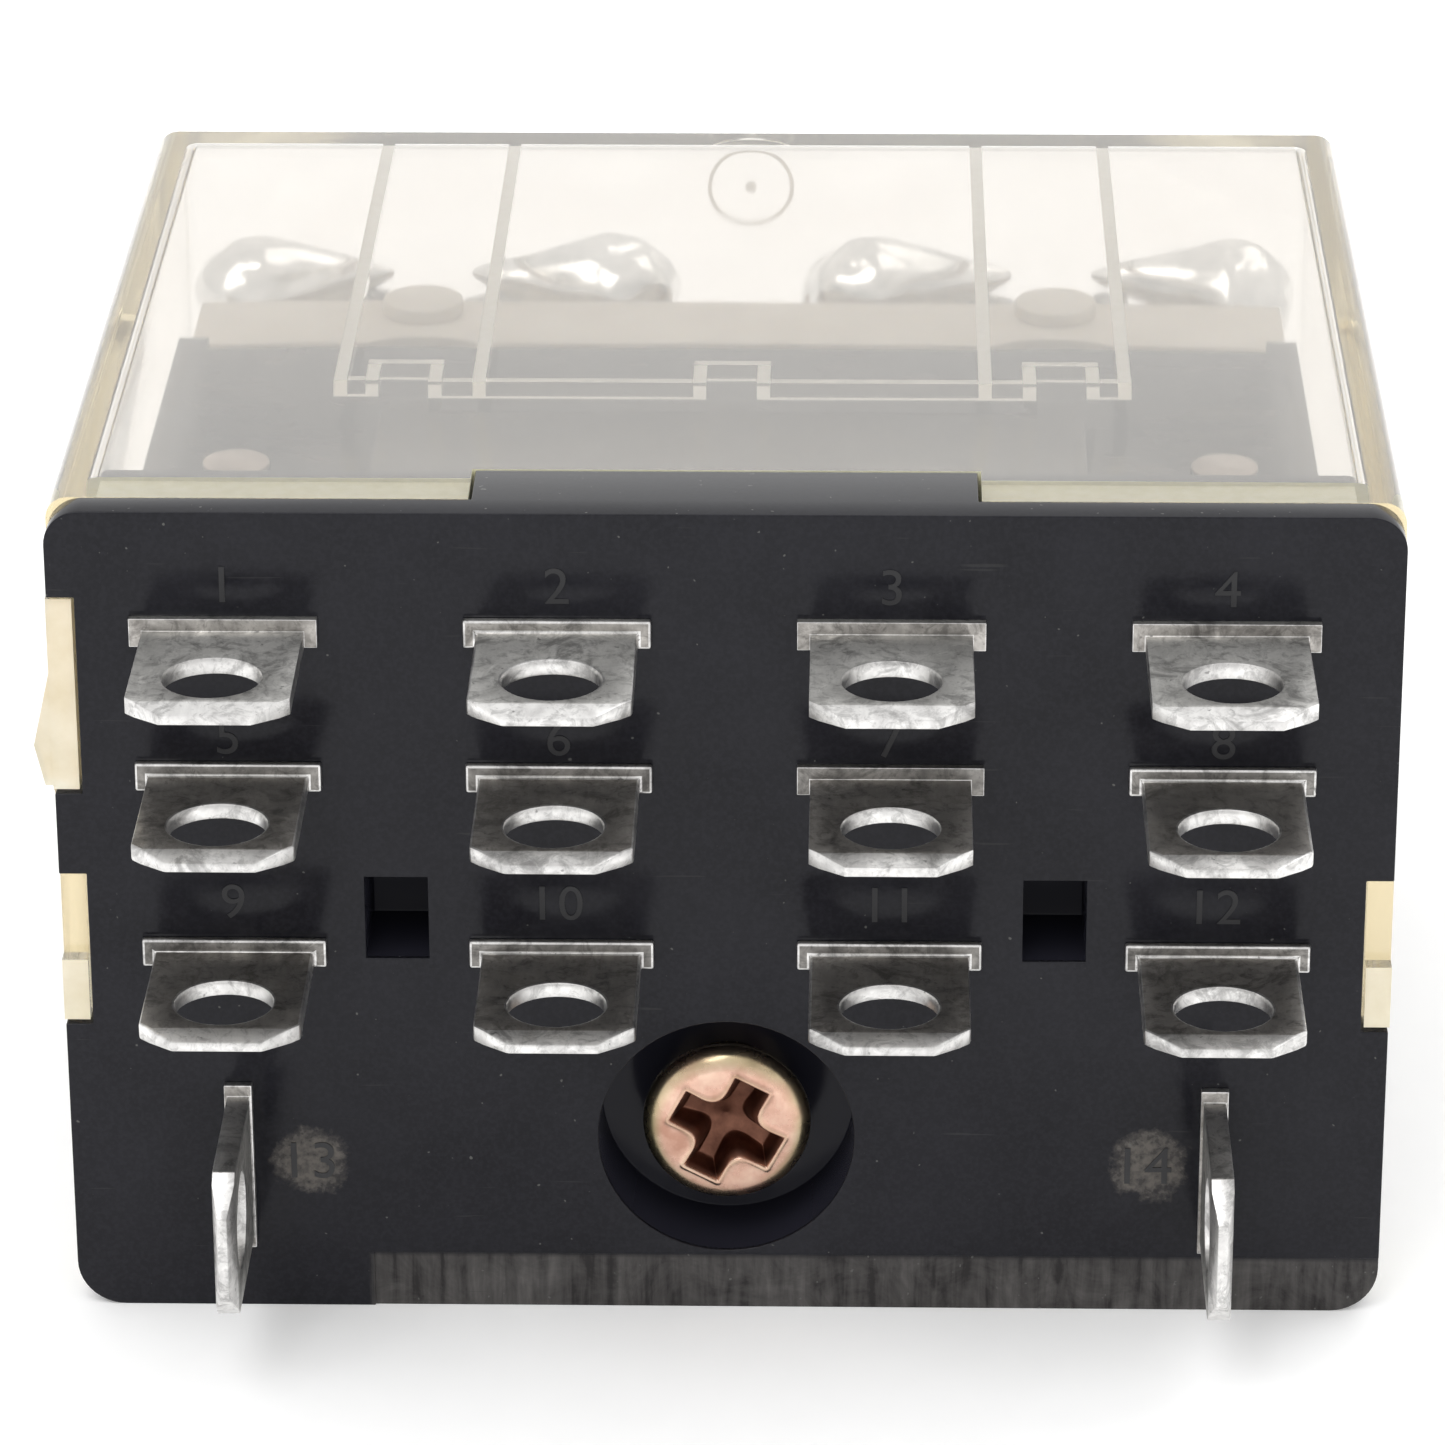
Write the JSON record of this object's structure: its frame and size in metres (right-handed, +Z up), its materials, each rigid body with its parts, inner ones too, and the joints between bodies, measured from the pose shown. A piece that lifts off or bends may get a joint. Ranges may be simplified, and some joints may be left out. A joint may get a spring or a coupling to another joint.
{
  "type": "industrial control relay",
  "caption": "Plug-in control relay: clear box cover on a black base with rows of flat tinned blades, coil magnet, hinged armature and changeover contacts inside.",
  "frame": {"origin": "centre of the broad lower face that the relay lies on, halfway along its whole length with the blades", "axes": "+X across the rows of blades, +Y from the blades towards the end of the clear cover, +Z up through the shortest side, contact side up"},
  "size_m": [0.0416, 0.0424, 0.027],
  "materials": {
    "black_moulding": "semi-gloss black thermoset moulding",
    "clear_cover": "clear moulded polycarbonate with a faint yellow tint",
    "tinned_blade": "dull tin plate on brass",
    "coppery_screw": "pink-gold passivated steel",
    "soft_iron": "nickel-plated soft iron",
    "spring_steel": "bright drawn steel",
    "bobbin_plastic": "moulded bobbin plastic",
    "enamelled_copper": "enamelled copper wire",
    "coil_tape": "yellow polyester tape",
    "cream_card": "cream moulded plastic",
    "solder": "bright tin-lead solder",
    "silver_contact": "silver alloy",
    "spring_bronze": "phosphor bronze strip",
    "tinned_braid": "tinned copper braid"
  },
  "bodies": {
    "relay": {"base": "black_moulding", "cover": "clear_cover", "terminal_01_closed": "tinned_blade", "terminal_02_closed": "tinned_blade", "terminal_03_closed": "tinned_blade", "terminal_04_closed": "tinned_blade", "terminal_05_open": "tinned_blade", "terminal_06_open": "tinned_blade", "terminal_07_open": "tinned_blade", "terminal_08_open": "tinned_blade", "terminal_09_common": "tinned_blade", "terminal_10_common": "tinned_blade", "terminal_11_common": "tinned_blade", "terminal_12_common": "tinned_blade", "terminal_13_coil": "tinned_blade", "terminal_14_coil": "tinned_blade", "closed_contact_1": "silver_contact", "closed_contact_2": "silver_contact", "closed_contact_3": "silver_contact", "closed_contact_4": "silver_contact", "open_contact_1": "silver_contact", "open_contact_2": "silver_contact", "open_contact_3": "silver_contact", "open_contact_4": "silver_contact", "frame_screw": "coppery_screw", "roof_rivets": "coppery_screw", "yoke": "soft_iron", "core": "soft_iron", "bobbin": "bobbin_plastic", "winding": "enamelled_copper", "coil_tape": "coil_tape", "hinge_pin": "spring_steel", "coil_lead_left": "enamelled_copper", "coil_lead_right": "enamelled_copper", "return_spring": "spring_steel", "pigtail_1": "tinned_braid", "pigtail_2": "tinned_braid", "pigtail_3": "tinned_braid", "pigtail_4": "tinned_braid"},
    "armature_set": {"armature": "soft_iron", "card": "cream_card", "card_pegs": "cream_card", "contact_spring_1": "spring_bronze", "contact_spring_2": "spring_bronze", "contact_spring_3": "spring_bronze", "contact_spring_4": "spring_bronze", "moving_contact_1": "silver_contact", "moving_contact_2": "silver_contact", "moving_contact_3": "silver_contact", "moving_contact_4": "silver_contact", "solder_tags": "solder"}
  },
  "joints": [
    {"name": "armature_hinge", "type": "hinge", "parent": "relay", "child": "armature_set", "pos_m": [0, 0.0151, 0.0024], "axis": [1, 0, 0], "range_deg": [0, 3], "stiffness_Nm_per_rad": 0.02, "springref_deg": -17.19, "deforming": ["return_spring", "pigtail_1", "pigtail_2", "pigtail_3", "pigtail_4"]}
  ]
}
